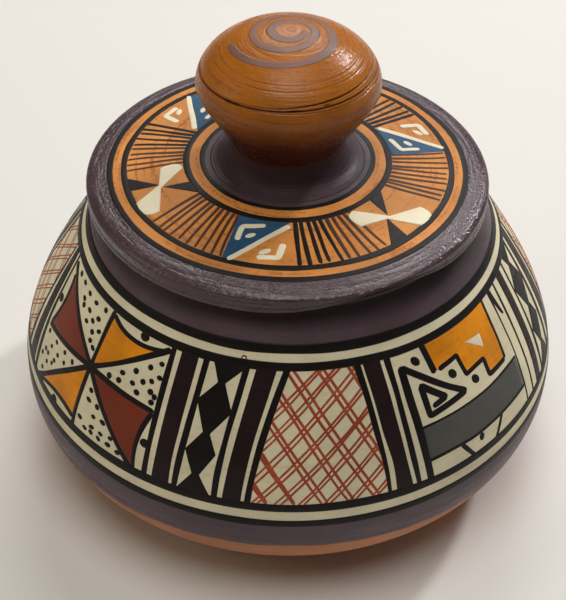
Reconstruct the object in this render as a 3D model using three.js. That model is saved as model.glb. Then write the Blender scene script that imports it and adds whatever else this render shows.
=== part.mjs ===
import * as THREE from 'three';

// A wheel-thrown earthenware trinket jar with a loose lid. Millimetres, +Z up.
// The origin is the middle of the flat base, so the jar stands on the plane z = 0.
// Every piece is turned on a wheel, so each one is a profile of radius and height revolved about +Z.

// Jar wall, outside, from the table up
const baseRadius = 33;
const baseBevel = 1;
const undersideReach = 11;
const undersideRise = 1.5;
const bellyRadius = 54.6;
const bellyHeight = 22;
const bellyFullnessBelow = 11;
const bellyFullnessAbove = 10.5;
const shoulderRadius = 39.8;
const shoulderHeight = 53.5;
const shoulderSlope = THREE.MathUtils.degToRad(57);
const shoulderFullness = 12;
const neckSweep = 5;
const neckHeight = 7.1;
const rimRadius = 35.3;
const rimRounding = 0.9;

// Jar wall, inside
const wallThickness = 4.5;
const floorThickness = 6;

// Lid disc
const lidRadius = 38.1;
const lidEdgeHeight = 3.2;
const lidLowerRounding = 0.9;
const lidUpperRoundingWidth = 0.8;
const lidUpperRoundingHeight = 0.65;
const lidCrownRise = 2.15;

// Ring under the lid that keeps it centred in the mouth
const flangeClearance = 1;
const flangeThickness = 3.5;
const flangeDepth = 6;
const flangeRounding = 0.9;

// Knob
const knobFootRadius = 14.6;
const knobFootEdge = 0.5;
const knobStemRadius = 10.7;
const knobStemHeight = 4.8;
const knobRadius = 16.75;
const knobWidestHeight = 16.4;
const knobUndercutReach = 2;
const knobUndercutDrop = 2.3;
const knobDomeHeight = 10.2;
const knobGrooveAngles = [22.5, 28.5].map(THREE.MathUtils.degToRad);
const knobGrooveHalfWidth = THREE.MathUtils.degToRad(1.7);
const knobGrooveDepth = 0.4;

// Steps of the revolved surfaces
const stepsAround = 60;
const stepsAroundKnob = 44;
const stepsPerCurve = 8;
const stepsPerRounding = 3;
const stepsOverDome = 9;

// Places worked out from the sizes above
const rimHeight = shoulderHeight + neckHeight;
const mouthRadius = rimRadius - wallThickness;
const flangeOuterRadius = mouthRadius - flangeClearance;
const flangeInnerRadius = flangeOuterRadius - flangeThickness;
const lidShoulderHeight = rimHeight + lidEdgeHeight + lidUpperRoundingHeight;
const knobSeatHeight = lidShoulderHeight + lidCrownRise;

const at = (radius, height) => new THREE.Vector2(radius, height);

// A solid of revolution: the profile's x is the radius and its y the height.
function turned(name, profile, steps, material) {
  const geometry = new THREE.LatheGeometry(profile, steps);
  geometry.rotateX(Math.PI / 2);
  const mesh = new THREE.Mesh(geometry, material);
  mesh.name = name;
  return mesh;
}

// A quarter turn of an ellipse from one point to another, leaving the first along the tangent given.
function rounding(from, to, leavesUpright) {
  const corner = leavesUpright ? at(from.x, to.y) : at(to.x, from.y);
  return new THREE.QuadraticBezierCurve(from, corner, to).getPoints(stepsPerRounding);
}

// The outside of the jar: underside curve, shoulder curve and the sweep up into the neck.
function jarWallOutside() {
  const foot = at(baseRadius, baseBevel);
  const belly = at(bellyRadius, bellyHeight);
  const shoulder = at(shoulderRadius, shoulderHeight);
  const shoulderRun = at(-Math.cos(shoulderSlope), Math.sin(shoulderSlope));
  const underside = new THREE.CubicBezierCurve(
    foot,
    at(baseRadius + undersideReach, baseBevel + undersideRise),
    at(bellyRadius, bellyHeight - bellyFullnessBelow),
    belly,
  );
  const upperWall = new THREE.CubicBezierCurve(
    belly,
    at(bellyRadius, bellyHeight + bellyFullnessAbove),
    shoulder.clone().addScaledVector(shoulderRun, -shoulderFullness),
    shoulder,
  );
  const neck = new THREE.QuadraticBezierCurve(
    shoulder,
    shoulder.clone().addScaledVector(shoulderRun, neckSweep),
    at(rimRadius, rimHeight - rimRounding),
  );
  return [
    ...underside.getPoints(stepsPerCurve),
    ...upperWall.getPoints(stepsPerCurve).slice(1),
    ...neck.getPoints(stepsPerCurve / 2).slice(1),
  ];
}

// The same wall moved inwards by its thickness, square to the surface at each point.
function jarWallInside(outside) {
  const inside = outside.map((point, index) => {
    const before = outside[Math.max(index - 1, 0)];
    const after = outside[Math.min(index + 1, outside.length - 1)];
    const run = after.clone().sub(before).normalize();
    return at(point.x - run.y * wallThickness, point.y + run.x * wallThickness);
  });
  const highest = rimHeight - 2 * rimRounding;
  return inside.filter((point) => point.y > floorThickness + rimRounding && point.y < highest);
}

function jarBody(material) {
  const outside = jarWallOutside();
  const inside = jarWallInside(outside);
  const rimOutside = outside.at(-1);
  const rimInside = at(mouthRadius, rimHeight - rimRounding);
  const profile = [
    at(0, 0),
    at(baseRadius - baseBevel, 0),
    ...outside,
    ...rounding(rimOutside, at(rimRadius - rimRounding, rimHeight), true).slice(1),
    ...rounding(at(mouthRadius + rimRounding, rimHeight), rimInside, false),
    ...inside.reverse(),
    at(baseRadius, floorThickness),
    at(0, floorThickness),
  ];
  return turned('jar_body', profile, stepsAround, material);
}

// The lid is a thick disc with a soft edge. Its flat underside sits on the jar's rim.
function lidDisc(material) {
  const edgeTop = at(lidRadius, rimHeight + lidEdgeHeight);
  const profile = [
    at(0, rimHeight),
    ...rounding(at(lidRadius - lidLowerRounding, rimHeight), at(lidRadius, rimHeight + lidLowerRounding), false),
    ...rounding(edgeTop, at(lidRadius - lidUpperRoundingWidth, lidShoulderHeight), true),
    at((lidRadius + knobFootRadius) / 2, lidShoulderHeight + lidCrownRise / 2),
    at(knobFootRadius, knobSeatHeight),
    at(0, knobSeatHeight),
  ];
  return turned('lid_disc', profile, stepsAround, material);
}

// The ring hangs from the lid's underside and closes on itself, open in the middle.
function lidFlange(material) {
  const bottom = rimHeight - flangeDepth;
  const outerCorner = at(flangeOuterRadius, bottom + flangeRounding);
  const innerCorner = at(flangeInnerRadius, bottom + flangeRounding);
  const profile = [
    at(flangeInnerRadius, rimHeight),
    ...rounding(innerCorner, at(flangeInnerRadius + flangeRounding, bottom), true),
    ...rounding(at(flangeOuterRadius - flangeRounding, bottom), outerCorner, false),
    at(flangeOuterRadius, rimHeight),
    at(flangeInnerRadius, rimHeight),
  ];
  return turned('lid_flange', profile, stepsAround, material);
}

// The dome of the knob is a quarter ellipse with turned grooves cut into it.
function knobDome() {
  const rings = Array.from({ length: stepsOverDome }, (_, step) => ({
    angle: (step * Math.PI) / 2 / stepsOverDome,
    depth: 0,
  }));
  const nearGroove = (angle) =>
    knobGrooveAngles.some((groove) => Math.abs(angle - groove) < 2 * knobGrooveHalfWidth);
  const plainRings = rings.filter((ring) => !nearGroove(ring.angle));
  const grooveRings = knobGrooveAngles.flatMap((groove) => [
    { angle: groove - knobGrooveHalfWidth, depth: 0 },
    { angle: groove, depth: knobGrooveDepth },
    { angle: groove + knobGrooveHalfWidth, depth: 0 },
  ]);
  return [...plainRings, ...grooveRings]
    .sort((first, second) => first.angle - second.angle)
    .map(({ angle, depth }) =>
      at(
        (knobRadius - depth) * Math.cos(angle),
        knobSeatHeight + knobWidestHeight + (knobDomeHeight - depth) * Math.sin(angle),
      ),
    );
}

// The knob was thrown by itself: a flared foot, a narrow stem to hold, and a wide domed head.
function lidKnob(material) {
  const foot = at(knobFootRadius, knobSeatHeight + knobFootEdge);
  const stem = at(knobStemRadius, knobSeatHeight + knobStemHeight);
  const widest = at(knobRadius, knobSeatHeight + knobWidestHeight);
  const cove = new THREE.QuadraticBezierCurve(foot, at(knobStemRadius, foot.y), stem);
  const undercut = new THREE.CubicBezierCurve(
    stem,
    at(knobStemRadius, stem.y + knobUndercutReach),
    at(knobRadius, widest.y - knobUndercutDrop),
    widest,
  );
  const profile = [
    at(0, knobSeatHeight),
    at(knobFootRadius, knobSeatHeight),
    ...cove.getPoints(stepsPerCurve / 2),
    ...undercut.getPoints(stepsPerCurve).slice(1, -1),
    ...knobDome(),
    at(0, widest.y + knobDomeHeight),
  ];
  return turned('lid_knob', profile, stepsAroundKnob, material);
}

const paintedSlip = new THREE.MeshStandardMaterial({ color: 0x4c3e3e, roughness: 0.45, metalness: 0 });
const orangeSlip = new THREE.MeshStandardMaterial({ color: 0xb47235, roughness: 0.5, metalness: 0 });
const bareClay = new THREE.MeshStandardMaterial({ color: 0x8a5a3c, roughness: 0.8, metalness: 0 });
const burnishedClay = new THREE.MeshStandardMaterial({ color: 0x9c5f2a, roughness: 0.4, metalness: 0 });

const lid = new THREE.Group();
lid.add(lidDisc(orangeSlip), lidFlange(bareClay), lidKnob(burnishedClay));

const trinketJar = new THREE.Group();
trinketJar.add(jarBody(paintedSlip), lid);

export default trinketJar;
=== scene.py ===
# %% [markdown]
# # A painted trinket jar
# The real object is a small earthenware jar, thrown on a wheel, covered in coloured slips, painted by hand and
# polished before firing. Slip is liquid clay, so a painted line stands a hair's breadth proud of the wall. The
# plain solids give the sizes. Finer surfaces take their place here, and each mark is a thin layer with its own
# outline.

# %% Load the plain solids
import math
from collections import namedtuple

import bpy
import numpy as np
from mathutils import Matrix


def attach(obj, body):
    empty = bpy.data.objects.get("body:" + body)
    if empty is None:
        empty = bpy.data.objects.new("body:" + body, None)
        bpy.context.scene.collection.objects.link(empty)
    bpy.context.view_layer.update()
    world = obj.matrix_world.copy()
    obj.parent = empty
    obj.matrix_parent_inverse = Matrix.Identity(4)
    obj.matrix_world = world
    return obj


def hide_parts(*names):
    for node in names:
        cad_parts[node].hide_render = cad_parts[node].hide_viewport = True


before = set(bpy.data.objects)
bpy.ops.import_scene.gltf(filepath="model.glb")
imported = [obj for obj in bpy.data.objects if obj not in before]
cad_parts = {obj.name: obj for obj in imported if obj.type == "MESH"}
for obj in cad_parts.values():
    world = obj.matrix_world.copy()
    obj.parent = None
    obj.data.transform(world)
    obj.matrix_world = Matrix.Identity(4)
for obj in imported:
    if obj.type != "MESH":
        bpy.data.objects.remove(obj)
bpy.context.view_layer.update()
scene = bpy.context.scene
scene.view_settings.view_transform = "Standard"
hand = np.random.default_rng(11)
print("solids:", sorted(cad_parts))

# %% [markdown]
# ## Camera
# The camera's place was worked out from the painted rings, which are circles seen at a slant. Its right, up and
# back directions are the columns of its matrix.

# %% Place the camera
PHOTO_HEIGHT, FOCAL_PIXELS = 600, 1204.57
SENSOR, NEAREST = 36.0, 0.01
CAMERA_PLACE = (0.0, -0.18732, 0.19788)
CAMERA_TURNS = [math.radians(angle) for angle in (-0.345, 41.859, 0.57)]


def view_axes(pan, tilt, roll):
    """Right, up and back: the view turned by pan about the upright, tipped down by tilt, then rolled."""
    ahead = np.array([math.sin(pan) * math.cos(tilt), math.cos(pan) * math.cos(tilt), -math.sin(tilt)])
    level = np.array([math.cos(pan), -math.sin(pan), 0.0])
    above = np.cross(level, ahead)
    right = math.cos(roll) * level + math.sin(roll) * above
    up = math.cos(roll) * above - math.sin(roll) * level
    return right, up, -ahead


def aim(thing, place, axes):
    """Puts a lamp or camera at a place, with its axes as the columns of its matrix."""
    matrix = np.eye(4)
    matrix[:3, :3] = np.stack(axes, axis=1)
    matrix[:3, 3] = place
    thing.matrix_world = Matrix(matrix.tolist())


def add_object(name, data):
    thing = bpy.data.objects.new(name, data)
    scene.collection.objects.link(thing)
    return thing


lens = bpy.data.cameras.new("camera")
lens.sensor_width, lens.clip_start = SENSOR, NEAREST
lens.lens = FOCAL_PIXELS * SENSOR / PHOTO_HEIGHT
scene.camera = add_object("camera", lens)
aim(scene.camera, CAMERA_PLACE, view_axes(*CAMERA_TURNS))
print("lens", round(lens.lens, 2), "mm")

# %% [markdown]
# ## Nodes
# These helpers add a shader node, fill its inputs and join its wires. Colours are written as they look on a screen,
# from 0 to 255.

# %% Node helpers
def paint_colour(red, green, blue):
    """A screen colour as linear light: the sRGB curve undone, channel by channel."""
    shown = np.array([red, green, blue]) / 255
    linear = np.where(shown < 0.04045, shown / 12.92, ((shown + 0.055) / 1.055) ** 2.4)
    return (*linear.tolist(), 1.0)


def add_node(tree, kind, inputs=None, **settings):
    """The outputs of a new node. An input is a wire if it comes from another node, and else a value."""
    node = tree.nodes.new("ShaderNode" + kind)
    for name, value in settings.items():
        setattr(node, name, value)
    for name, value in (inputs or {}).items():
        if isinstance(value, bpy.types.NodeSocket):
            tree.links.new(value, node.inputs[name])
        else:
            node.inputs[name].default_value = value
    return node.outputs


def arithmetic(tree, operation, first, second):
    return add_node(tree, "Math", {0: first, 1: second}, operation=operation)[0]


def vector_math(tree, operation, inputs, result=0):
    return add_node(tree, "VectorMath", inputs, operation=operation)[result]


def noise(tree, place, scale, detail):
    return add_node(tree, "TexNoise", {"Vector": place, "Scale": scale, "Detail": detail})[0]


def smooth_step(tree, value, low, high, to_low=0.0, to_high=1.0):
    inputs = {"Value": value, "From Min": low, "From Max": high, "To Min": to_low, "To Max": to_high}
    return add_node(tree, "MapRange", inputs, interpolation_type="SMOOTHSTEP")[0]


def blend_colours(tree, share, first, second):
    return add_node(tree, "Mix", {0: share, 6: first, 7: second}, data_type="RGBA")[2]


def new_group(name, inputs, outputs):
    """A node group with its sockets, each given as name to kind."""
    group = bpy.data.node_groups.new(name, "ShaderNodeTree")
    for way, sockets in (("INPUT", inputs), ("OUTPUT", outputs)):
        for socket, kind in sockets.items():
            group.interface.new_socket(socket, in_out=way, socket_type=kind)
    return group, group.nodes.new("NodeGroupInput").outputs, group.nodes.new("NodeGroupOutput").inputs


print("cream as linear light:", [round(part, 3) for part in paint_colour(226, 216, 183)])

# %% [markdown]
# ## A coat of slip
# Slip is brushed on while the jar turns. It lies thicker in some places, keeps faint lines around the axis, and
# shows specks of the clay beneath. All coats share this node group. Its streaks are noise that changes slowly
# along x and y and quickly with height less radius, so they follow the wheel on the wall and on the lid alike.

# %% The slip group
FLOAT, COLOUR = "NodeSocketFloat", "NodeSocketColor"
SLOW_SCALE, CLOUD_SCALE, SPECK_SCALE = 70.0, 110.0, 1300.0
STREAK_SHARE, SPECK_SHARE, CLOUD_RELIEF = 0.65, 0.35, 0.4
BARE_FROM, BARE_TO = 0.50, 0.68


def make_slip_coat():
    """Tone = slip x (1 + cloud x slow noise); clay shows where streaks and specks together pass a threshold."""
    group, given, result = new_group(
        "slip_coat", {"Slip": COLOUR, "Clay": COLOUR, "Cloud": FLOAT, "Thin": FLOAT, "Lines": FLOAT},
        {"Color": COLOUR, "Unevenness": FLOAT, "Height": FLOAT})
    place = add_node(group, "TexCoord")["Object"]
    flat = vector_math(group, "MULTIPLY", {0: place, 1: (1, 1, 0)})
    radius = vector_math(group, "LENGTH", {0: flat}, "Value")
    height = add_node(group, "SeparateXYZ", {0: place})["Z"]
    rise = arithmetic(group, "MULTIPLY", arithmetic(group, "SUBTRACT", height, radius), given["Lines"])
    quick = add_node(group, "CombineXYZ", {"Z": rise})[0]
    slow = vector_math(group, "MULTIPLY", {0: flat, 1: (SLOW_SCALE, SLOW_SCALE, 0)})
    streaks = noise(group, vector_math(group, "ADD", {0: slow, 1: quick}), 1.0, 3.0)
    clouds = noise(group, place, CLOUD_SCALE, 4.0)
    specks = noise(group, place, SPECK_SCALE, 2.0)
    swing = arithmetic(group, "MULTIPLY", smooth_step(group, clouds, 0.3, 0.7, -1.0, 1.0), given["Cloud"])
    shaded = vector_math(group, "SCALE", {0: given["Slip"], "Scale": arithmetic(group, "ADD", swing, 1.0)})
    grit = arithmetic(group, "ADD", arithmetic(group, "MULTIPLY", streaks, STREAK_SHARE),
                      arithmetic(group, "MULTIPLY", specks, SPECK_SHARE))
    bare = arithmetic(group, "MULTIPLY", smooth_step(group, grit, BARE_FROM, BARE_TO), given["Thin"])
    relief = arithmetic(group, "ADD", grit, arithmetic(group, "MULTIPLY", clouds, CLOUD_RELIEF))
    group.links.new(blend_colours(group, bare, shaded, given["Clay"]), result["Color"])
    group.links.new(grit, result["Unevenness"])
    group.links.new(relief, result["Height"])
    return group


SLIP_COAT = make_slip_coat()
print("slip coat:", len(SLIP_COAT.nodes), "nodes")

# %% [markdown]
# ## Where one coat ends
# The purple slip stops along an unsteady line above the foot and on the knob's stem. The same mask places painted
# shade: a darker purple up the neck and dark brown under the knob's head. The mask compares the height
# with a level that slow noise moves, and that may lean from front to back.

# %% The brushed edge group
EDGE_SCALE = 130.0


def make_brushed_edge():
    """Mask = smooth step of height + lean x y - level + waver x noise, over the given softness."""
    group, given, result = new_group(
        "brushed_edge", {"Level": FLOAT, "Lean": FLOAT, "Waver": FLOAT, "Softness": FLOAT}, {"Above": FLOAT})
    place = add_node(group, "TexCoord")["Object"]
    parts = add_node(group, "SeparateXYZ", {0: place})
    leaning = arithmetic(group, "ADD", parts["Z"], arithmetic(group, "MULTIPLY", parts["Y"], given["Lean"]))
    drift = arithmetic(group, "SUBTRACT", noise(group, place, EDGE_SCALE, 3.0), 0.5)
    waver = arithmetic(group, "MULTIPLY", drift, given["Waver"])
    over = arithmetic(group, "ADD", arithmetic(group, "SUBTRACT", leaning, given["Level"]), waver)
    share = arithmetic(group, "DIVIDE", over, given["Softness"])
    group.links.new(smooth_step(group, share, -0.5, 0.5), result["Above"])
    return group


BRUSHED_EDGE = make_brushed_edge()
print("brushed edge:", len(BRUSHED_EDGE.nodes), "nodes")

# %% [markdown]
# ## The finishes
# Every finish is slip over clay. Polished slip is satin, with a fine uneven grain that roughness and bump follow.
# A recipe lists the slip, the clay under it, how thin and how cloudy the slip is and, where they differ, its
# satin, the depth of its grain and its shine.

# %% Materials
CLAY, PALE_CLAY, DARK_CLAY, MUDDY = (190, 125, 85), (206, 146, 104), (136, 72, 30), (70, 48, 38)
PURPLE, NECK_SHADE_PURPLE, LID_PURPLE = (86, 68, 76), (54, 41, 48), (75, 57, 64)
GOLDEN, STEM_SHADE_BROWN, GROOVE_SHADE_BROWN = (170, 100, 30), (84, 42, 24), (62, 30, 12)
SATIN, BURNISHED, GRAIN = (0.42, 0.6), (0.18, 0.42), 0.00004
UNEVEN_FROM, UNEVEN_TO = 0.35, 0.65
FOOT_DULLER = 0.2
RECIPES = {
    "cream": ((226, 216, 183), (200, 172, 122), 0.3, 0.07),
    "bare_clay": (CLAY, PALE_CLAY, 0.4, 0.14, (0.65, 0.85), 0.0001),
    "orange": ((202, 132, 64), (140, 74, 30), 0.7, 0.16, SATIN, 0.00008),
    "purple": (LID_PURPLE, MUDDY, 0.25, 0.14, BURNISHED, 0.0004, 0.44),
    "dull_purple": (LID_PURPLE, MUDDY, 0.25, 0.14, (0.45, 0.65), 0.0001, 0.4),
    "black": ((20, 15, 14), MUDDY, 0.08, 0.1),
    "dark_brown": ((34, 20, 20), MUDDY, 0.1, 0.14),
    "hatch_brown": ((164, 70, 44), (200, 118, 80), 0.4, 0.16),
    "ochre": ((228, 142, 18), (200, 104, 12), 0.4, 0.18),
    "red_brown": ((122, 50, 28), (150, 76, 50), 0.2, 0.1),
    "grey": ((84, 82, 77), (104, 100, 94), 0.2, 0.1),
    "blue": ((40, 80, 112), (90, 104, 116), 0.2, 0.14),
    "pale_cream": ((232, 222, 194), (206, 176, 130), 0.2, 0.06),
    "fan_brown": ((76, 46, 28), (134, 82, 44), 0.3, 0.15),
    "spiral_brown": ((124, 88, 74), DARK_CLAY, 0.3, 0.14, SATIN, GRAIN, 0.5),
}


def new_material(name, shine):
    material = bpy.data.materials.new(name)
    material.use_nodes = True
    shader = material.node_tree.nodes["Principled BSDF"]
    shader.inputs["Specular IOR Level"].default_value = shine
    return material, material.node_tree, shader


def make_finish(name, coats, edges=(), cloud=0.12, satin=SATIN, relief=GRAIN, shine=0.2, lines=850.0, groove_shade=None):
    """Coats (slip, clay, thin) from the foot up, each above its brushed edge; the lowest of several is duller."""
    material, tree, shader = new_material(name, shine)
    colour = duller = None
    for (slip, clay, thin), edge in zip(coats, [None, *edges]):
        inputs = {"Slip": paint_colour(*slip), "Clay": paint_colour(*clay), "Thin": thin, "Cloud": cloud,
                  "Lines": lines}
        coat = add_node(tree, "Group", inputs, node_tree=SLIP_COAT)
        above = add_node(tree, "Group", edge, node_tree=BRUSHED_EDGE)["Above"] if edge else None
        colour = blend_colours(tree, above, colour, coat["Color"]) if edge else coat["Color"]
        if edge and duller is None:
            duller = smooth_step(tree, above, 0.0, 1.0, FOOT_DULLER, 0.0)
    # Painted shade in the grooves and nicks: the cuts go darker with their depth.
    if groove_shade:
        deep = add_node(tree, "Attribute", attribute_name="cut")["Fac"]
        colour = blend_colours(tree, deep, colour, paint_colour(*groove_shade))
    rough = smooth_step(tree, coat["Unevenness"], UNEVEN_FROM, UNEVEN_TO, *satin)
    rough = arithmetic(tree, "ADD", rough, duller) if duller else rough
    bump = add_node(tree, "Bump", {"Height": coat["Height"], "Distance": relief, "Strength": 1.0})
    for value, socket in ((colour, "Base Color"), (rough, "Roughness"), (bump[0], "Normal")):
        tree.links.new(value, shader.inputs[socket])
    return material


FINISH = {name: make_finish(name, [coat[:3]], (), *coat[3:]) for name, coat in RECIPES.items()}
# The top coat, a darker purple from 57 mm up the neck, is painted shade under the lid's overhang.
FINISH["purple_over_clay_neck_shade"] = make_finish(
    "purple_over_clay_neck_shade", [(CLAY, PALE_CLAY, 0.3), (PURPLE, MUDDY, 0.1), (NECK_SHADE_PURPLE, MUDDY, 0.1)],
    [{"Level": 0.0128, "Lean": 0.11, "Waver": 0.0012, "Softness": 0.0005},
     {"Level": 0.057, "Waver": 0.002, "Softness": 0.003}],
    satin=(0.38, 0.56), relief=0.00005, shine=0.4)
# The middle coat, dark brown on the stem and fading into gold up to 82 mm, is painted shade under the knob's head.
FINISH["burnished"] = make_finish(
    "burnished", [(LID_PURPLE, MUDDY, 0.15), (STEM_SHADE_BROWN, MUDDY, 0.3), (GOLDEN, DARK_CLAY, 0.8)],
    [{"Level": 0.0716, "Waver": 0.002, "Softness": 0.002}, {"Level": 0.0822, "Waver": 0.003, "Softness": 0.0135}],
    satin=BURNISHED, relief=0.0002, shine=0.24, lines=1300.0, groove_shade=GROOVE_SHADE_BROWN)
print("finishes:", len(FINISH))

# %% [markdown]
# ## Floor and light
# Four soft lamps: one overhead, one behind that lays the shadow towards the viewer, a small one that the knob and
# the lid's edge catch, and a weak warm one on the left. Dim surroundings of the floor's colour fill the shadows.
# Far from the jar the camera sees only that colour, so no horizon shows.

# %% Floor, lamps and surroundings
FLOOR_REACH, FLOOR_DROP, FLOOR_ROUGHNESS = 6.0, 0.0002, 0.7
FLOOR_COLOUR = paint_colour(224, 221, 216)
FADE_FROM, FADE_TO, SURROUNDINGS = 0.3, 0.9, 0.08
LAMP_DISTANCE, LAMP_AIM = 1.2, (0, 0, 0.05)
LAMPS = [
    ("ceiling", 0, 80, 0.8, 7.5, (1.0, 0.98, 0.94)),
    ("window", 176, 43, 0.7, 6.0, (1.0, 0.985, 0.965)),
    ("side_window", 134, 37, 0.12, 6.5, (0.99, 0.99, 1.0)),
    ("fill", -85, 30, 0.5, 1.5, (1.0, 0.86, 0.62)),
]


def add_lamp(name, azimuth, elevation, size, power, colour):
    """A round area lamp at angles from the front to the right and above the floor, facing the jar's middle."""
    lamp = bpy.data.lights.new(name, "AREA")
    lamp.shape, lamp.size, lamp.energy, lamp.color = "DISK", size, power, colour
    axes = view_axes(-math.radians(azimuth), math.radians(elevation), 0.0)
    aim(add_object(name, lamp), axes[2] * LAMP_DISTANCE + LAMP_AIM, axes)


mesh = bpy.data.meshes.new("floor")
corners = np.array([[-1, -1, 0], [1, -1, 0], [1, 1, 0], [-1, 1, 0]]) * FLOOR_REACH - (0, 0, FLOOR_DROP)
mesh.from_pydata(corners.tolist(), [], [[0, 1, 2, 3]])
material, tree, shader = new_material("floor", 0.5)
shader.inputs["Base Color"].default_value = FLOOR_COLOUR
shader.inputs["Roughness"].default_value = FLOOR_ROUGHNESS
place = add_node(tree, "TexCoord")["Object"]
away = vector_math(tree, "LENGTH", {0: place}, "Value")
seen = add_node(tree, "LightPath")["Is Camera Ray"]
share = arithmetic(tree, "MULTIPLY", smooth_step(tree, away, FADE_FROM, FADE_TO), seen)
plain = add_node(tree, "Emission", {"Color": FLOOR_COLOUR})[0]
mix = add_node(tree, "MixShader", {0: share, 1: shader.outputs[0], 2: plain})
tree.links.new(mix[0], tree.nodes["Material Output"].inputs["Surface"])
mesh.materials.append(material)
floor = add_object("floor", mesh)
for lamp in LAMPS:
    add_lamp(*lamp)
scene.world = bpy.data.worlds.new("surroundings")
scene.world.use_nodes = True
tree = scene.world.node_tree
sky = tree.nodes["Background"].inputs
sky["Color"].default_value = FLOOR_COLOUR
seen = add_node(tree, "LightPath")["Is Camera Ray"]
tree.links.new(smooth_step(tree, seen, 0.0, 1.0, SURROUNDINGS, 1.0), sky["Strength"])
print("lamps:", len(LAMPS))

# %% [markdown]
# ## Surfaces from grids
# A thrown pot is a profile turned about an axis: a grid with a row for each place on the profile and a column for
# each step around. Rows run up the outside and columns to the right, so the faces point outwards.

# %% Grid helpers
MM = 0.001
TURNS, POLE = 288, 0.5
COATED, PAINTED, BARE, SEAT = range(4)
LID_REST = (-0.5, -0.1, 0.0)


def pairs(first, second):
    """Rows of (first, second) from two lists of numbers, or from a list and one number."""
    return np.stack(np.broadcast_arrays(first, second), axis=1)


def step_angles(steps):
    """Degrees from the front to the right for each step around, between -180 and 180."""
    return (np.arange(steps) * 360 / steps + 180) % 360 - 180


def around_axis(radius, turn, height):
    """Places (r sin a, -r cos a, z)."""
    return np.stack([radius * np.sin(turn), -radius * np.cos(turn), height], axis=-1)


def swept(profile, columns=TURNS):
    """The radius and the height of a profile, each repeated for every step around."""
    return [part[:, None] * np.ones(columns) for part in profile.T]


def rings(radius, height):
    columns = radius.shape[1]
    return around_axis(radius, np.arange(columns) * 2 * math.pi / columns, height).reshape(-1, 3)


def grid_faces(rows, columns, round_rows=False):
    """Corners of each quad of a grid numbered row by row. Columns close on themselves, and rows may too."""
    row, column = np.meshgrid(np.arange(rows if round_rows else rows - 1), np.arange(columns), indexing="ij")
    above, right = (row + 1) % rows, (column + 1) % columns
    corners = [row * columns + column, row * columns + right, above * columns + right, above * columns + column]
    return np.stack(corners, axis=-1).reshape(-1, 4).tolist()


def turned(radius, height):
    """Rings joined into quads; the first and last rings close on the axis."""
    rows, columns = radius.shape
    poles = np.array([[0, 0, height[0, 0]], [0, 0, height[-1, 0]]])
    here, right = np.arange(columns), (np.arange(columns) + 1) % columns
    low, high, last = rows * columns, rows * columns + 1, (rows - 1) * columns
    faces = grid_faces(rows, columns)
    faces += np.stack([np.full(columns, low), right, here], axis=1).tolist()
    faces += np.stack([last + here, last + right, np.full(columns, high)], axis=1).tolist()
    return np.concatenate([rings(radius, height), poles]), faces


def gather(parts):
    """Several meshes as one: each one's corner numbers move up by the number of points before it."""
    before = np.cumsum([0] + [len(points) for points, _ in parts])
    faces = [[corner + start for corner in face] for start, (_, part) in zip(before, parts) for face in part]
    return np.concatenate([points for points, _ in parts]), faces


def add_piece(name, body, parts, finishes, zones=None, replaces=(), cut=None):
    """A painted piece from parts. The loose lid rests a little off centre, well inside its ring's clearance."""
    points, faces = gather(parts)
    points = points + LID_REST if body == "lid" else points
    mesh = bpy.data.meshes.new(name)
    mesh.from_pydata((points * MM).tolist(), [], faces)
    for finish in finishes:
        mesh.materials.append(FINISH[finish])
    mesh.polygons.foreach_set("use_smooth", np.ones(len(faces), dtype=bool))
    if zones is not None:
        mesh.polygons.foreach_set("material_index", zones)
    if cut is not None:
        mesh.attributes.new("cut", "FLOAT", "POINT").data.foreach_set("value", cut)
    piece = add_object(name, mesh)
    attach(piece, body)
    for node in replaces:
        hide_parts(node)
    print(name, len(faces), "faces")


def bezier(controls, steps):
    """Points of a Bezier curve: each control point weighted by its Bernstein polynomial."""
    controls = np.asarray(controls, dtype=float)
    degree = len(controls) - 1
    share = np.linspace(0, 1, steps + 1)[:, None]
    weights = [math.comb(degree, k) * share ** k * (1 - share) ** (degree - k) for k in range(degree + 1)]
    return sum(weight * control for weight, control in zip(weights, controls))


def joined(*curves):
    """Bezier curves (controls, steps) as one line, each from where the one before it ends."""
    first, *others = [bezier(*curve) for curve in curves]
    return np.concatenate([first, *(points[1:] for points in others)])


def outward(profile):
    """Unit normals of a profile, to the right of its run: (dz, -dr) over their length."""
    run = np.gradient(profile, axis=0)
    return pairs(run[:, 1], -run[:, 0]) / np.hypot(*run.T)[:, None]


print("grid of 3 x 4:", len(grid_faces(3, 4)), "faces")

# %% [markdown]
# ## The jar
# The wall swings out from the foot to a full belly, closes in to the shoulder and turns up into a short neck. The
# inside is the same line moved in by the wall's thickness, with the faint ripple of the potter's fingers. Face
# zones choose the coat: purple over bare clay, the cream band for the painting, and bare clay inside.

# %% The jar wall
BASE_RADIUS, BELLY, SHOULDER, RIM = 33.0, (54.6, 22.0), (39.8, 53.5), (35.3, 60.6)
UNDERSIDE, FULL_BELOW, FULL_ABOVE = (44.0, 2.5), 11, 10.5
SHOULDER_SLOPE, SHOULDER_FULL, NECK_SWEEP = math.radians(57), 12, 5
WALL, FLOOR_HEIGHT, ROUNDING, BEVEL, RIM_STEPS = 4.5, 6.0, 0.9, 1, 6
RIPPLE, RIPPLE_PITCH, RIPPLE_TOP, RIPPLE_FADE = 0.22, 5.5, 46, 8
CREAM_FROM, CREAM_TO = 25.3, 54.1


def jar_outside():
    """Foot to belly, belly to shoulder and shoulder to rim, as (radius, height)."""
    run = np.array([-math.cos(SHOULDER_SLOPE), math.sin(SHOULDER_SLOPE)])
    shoulder = np.array(SHOULDER)
    return joined(
        ([(BASE_RADIUS, BEVEL), UNDERSIDE, (BELLY[0], BELLY[1] - FULL_BELOW), BELLY], 40),
        ([BELLY, (BELLY[0], BELLY[1] + FULL_ABOVE), shoulder - SHOULDER_FULL * run, shoulder], 90),
        ([shoulder, shoulder + NECK_SWEEP * run, (RIM[0], RIM[1] - ROUNDING)], 24))


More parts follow.
